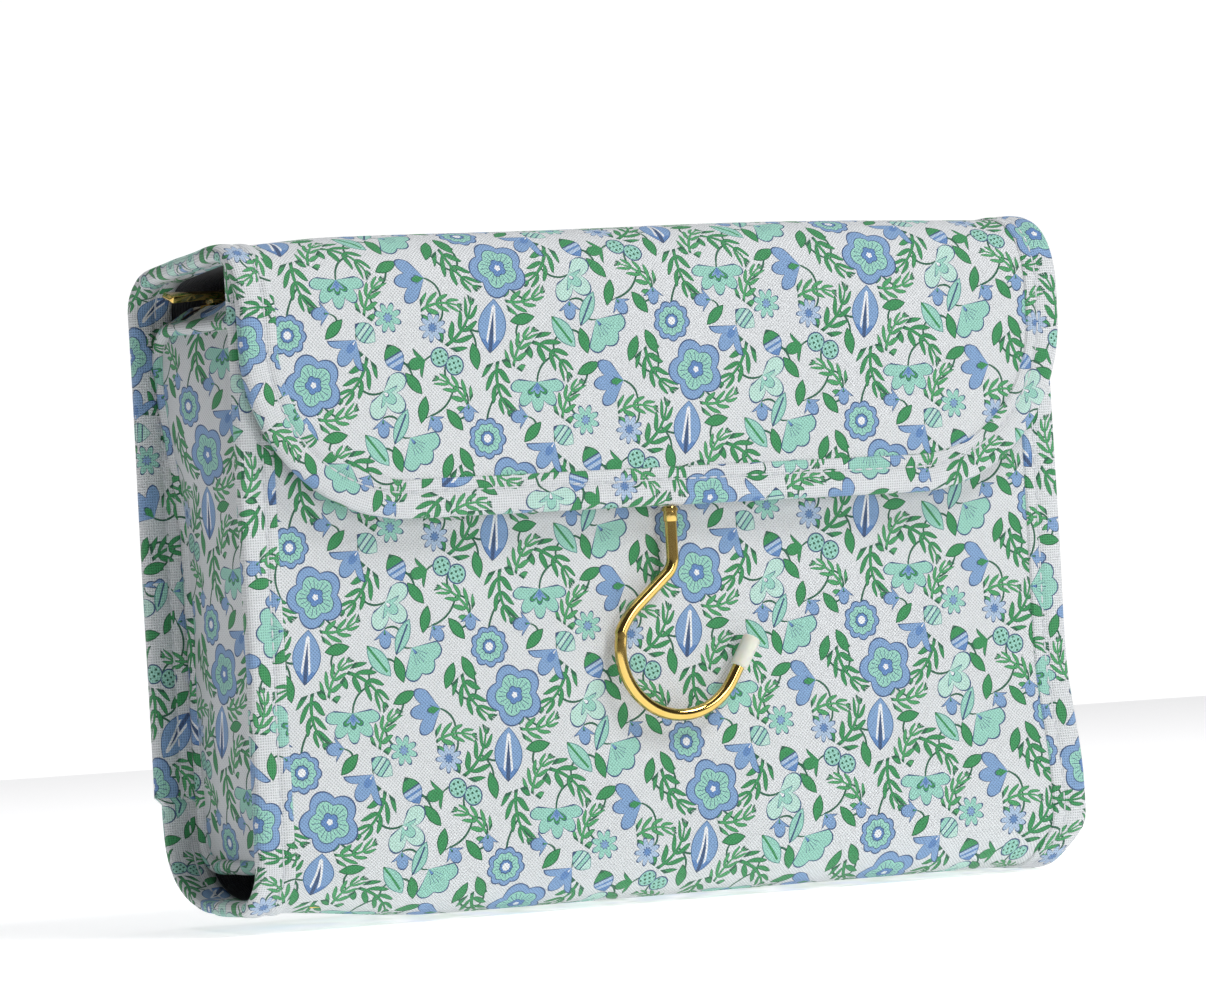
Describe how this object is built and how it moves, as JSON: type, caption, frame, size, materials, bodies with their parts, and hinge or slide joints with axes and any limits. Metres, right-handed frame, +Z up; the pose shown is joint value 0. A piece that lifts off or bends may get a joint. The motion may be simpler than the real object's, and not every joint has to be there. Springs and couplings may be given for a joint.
{
  "type": "hanging toiletry bag",
  "caption": "Fold-up hanging toiletry bag: stiffened printed cover round a zipped compartment, inner zip pocket, and a swivel hook on the flap.",
  "frame": {"origin": "middle of the underside of the closed bag, under the middle of its bounding box", "axes": "+X to the right as seen from the front, -Y towards the flap and the hook, +Z up"},
  "size_m": [0.264, 0.078, 0.194],
  "materials": {
    "printed_fabric": "cross-hatch embossed coated fabric, pale lilac-grey, with a small blue, mint and green floral print",
    "printed_binding": "the same embossed printed fabric, cut as binding and piping strips",
    "ribbed_lining": "charcoal polyester lining with a fine rib",
    "stiffener_board": "flexible white polyethylene board",
    "zip_tape": "charcoal woven zip tape",
    "zip_teeth": "charcoal nylon coil",
    "polished_gold": "polished gold-coloured plating",
    "hook_rubber": "milky translucent soft tube",
    "magnet_steel": "nickel-plated disc magnets"
  },
  "bodies": {
    "back": {"back_skin": "printed_fabric", "back_board": "stiffener_board", "back_lining": "ribbed_lining", "back_binding_left": "printed_binding", "back_binding_right": "printed_binding", "case_front": "printed_fabric", "case_base": "printed_fabric", "case_top_front": "printed_fabric", "case_top_rear": "printed_fabric", "case_end_left": "printed_fabric", "case_end_right": "printed_fabric", "case_piping_left": "printed_binding", "case_piping_right": "printed_binding", "main_tape_front": "zip_tape", "main_tape_rear": "zip_tape", "main_teeth": "zip_teeth", "main_stops": "polished_gold"},
    "top": {"top_skin": "printed_fabric", "top_board": "stiffener_board", "top_lining": "ribbed_lining", "top_binding_left": "printed_binding", "top_binding_right": "printed_binding"},
    "flap": {"flap_skin": "printed_fabric", "flap_board": "stiffener_board", "flap_lining": "ribbed_lining", "flap_binding": "printed_binding", "flap_magnets": "magnet_steel", "hook_anchor": "polished_gold", "hook_collar": "polished_gold"},
    "hook": {"hook_wire": "polished_gold", "hook_head": "polished_gold", "hook_tip": "hook_rubber"},
    "bottom": {"bottom_skin": "printed_fabric", "bottom_board": "stiffener_board", "bottom_lining": "ribbed_lining", "bottom_binding_left": "printed_binding", "bottom_binding_right": "printed_binding"},
    "front": {"front_skin": "printed_fabric", "front_board": "stiffener_board", "front_lining": "ribbed_lining", "front_binding_left": "printed_binding", "front_binding_right": "printed_binding", "front_tuck": "printed_fabric", "front_magnets": "magnet_steel", "pocket_panel": "ribbed_lining", "pocket_gusset": "ribbed_lining", "pocket_tape_low": "zip_tape", "pocket_tape_high": "zip_tape", "pocket_teeth": "zip_teeth", "pocket_stops": "polished_gold"},
    "main_slider": {"main_slider": "polished_gold"},
    "main_pull": {"main_pull": "polished_gold"},
    "pocket_slider": {"pocket_slider": "polished_gold"},
    "pocket_pull": {"pocket_pull": "polished_gold"}
  },
  "joints": [
    {"name": "bottom_fold", "type": "hinge", "parent": "back", "child": "bottom", "pos_m": [0, 0.0384, 0.0006], "axis": [1, 0, 0], "range_deg": [0, 90], "deforming": ["front_tuck", "front_magnets"]},
    {"name": "front_fold", "type": "hinge", "parent": "bottom", "child": "front", "pos_m": [0, -0.0316, 0.0006], "axis": [1, 0, 0], "range_deg": [0, 90]},
    {"name": "top_fold", "type": "hinge", "parent": "back", "child": "top", "pos_m": [0, 0.0384, 0.1934], "axis": [-1, 0, 0], "range_deg": [0, 90]},
    {"name": "flap_fold", "type": "hinge", "parent": "top", "child": "flap", "pos_m": [0, -0.0375, 0.1934], "axis": [-1, 0, 0], "range_deg": [0, 90]},
    {"name": "hook_swivel", "type": "hinge", "parent": "flap", "child": "hook", "pos_m": [0, -0.0361, 0.109], "axis": [0, 0, 1], "range_deg": [-5, 4]},
    {"name": "main_zip", "type": "slide", "parent": "back", "child": "main_slider", "axis": [1, 0, 0], "range_m": [0, 0.204], "deforming": ["main_teeth"]},
    {"name": "main_pull_tilt", "type": "hinge", "parent": "main_slider", "child": "main_pull", "pos_m": [-0.108, 0.02, 0.1793], "axis": [0, 1, 0], "range_deg": [0, 15]},
    {"name": "pocket_zip", "type": "slide", "parent": "front", "child": "pocket_slider", "axis": [1, 0, 0], "range_m": [0, 0.204], "deforming": ["pocket_teeth"]},
    {"name": "pocket_pull_swing", "type": "hinge", "parent": "pocket_slider", "child": "pocket_pull", "pos_m": [-0.108, -0.0196, 0.0088], "axis": [0, 0, -1], "range_deg": [0, 165]}
  ],
  "couplings": [
    {"joint": "front_fold", "follows": "bottom_fold", "ratio": 1},
    {"joint": "top_fold", "follows": "bottom_fold", "ratio": 1},
    {"joint": "flap_fold", "follows": "bottom_fold", "ratio": 1}
  ]
}
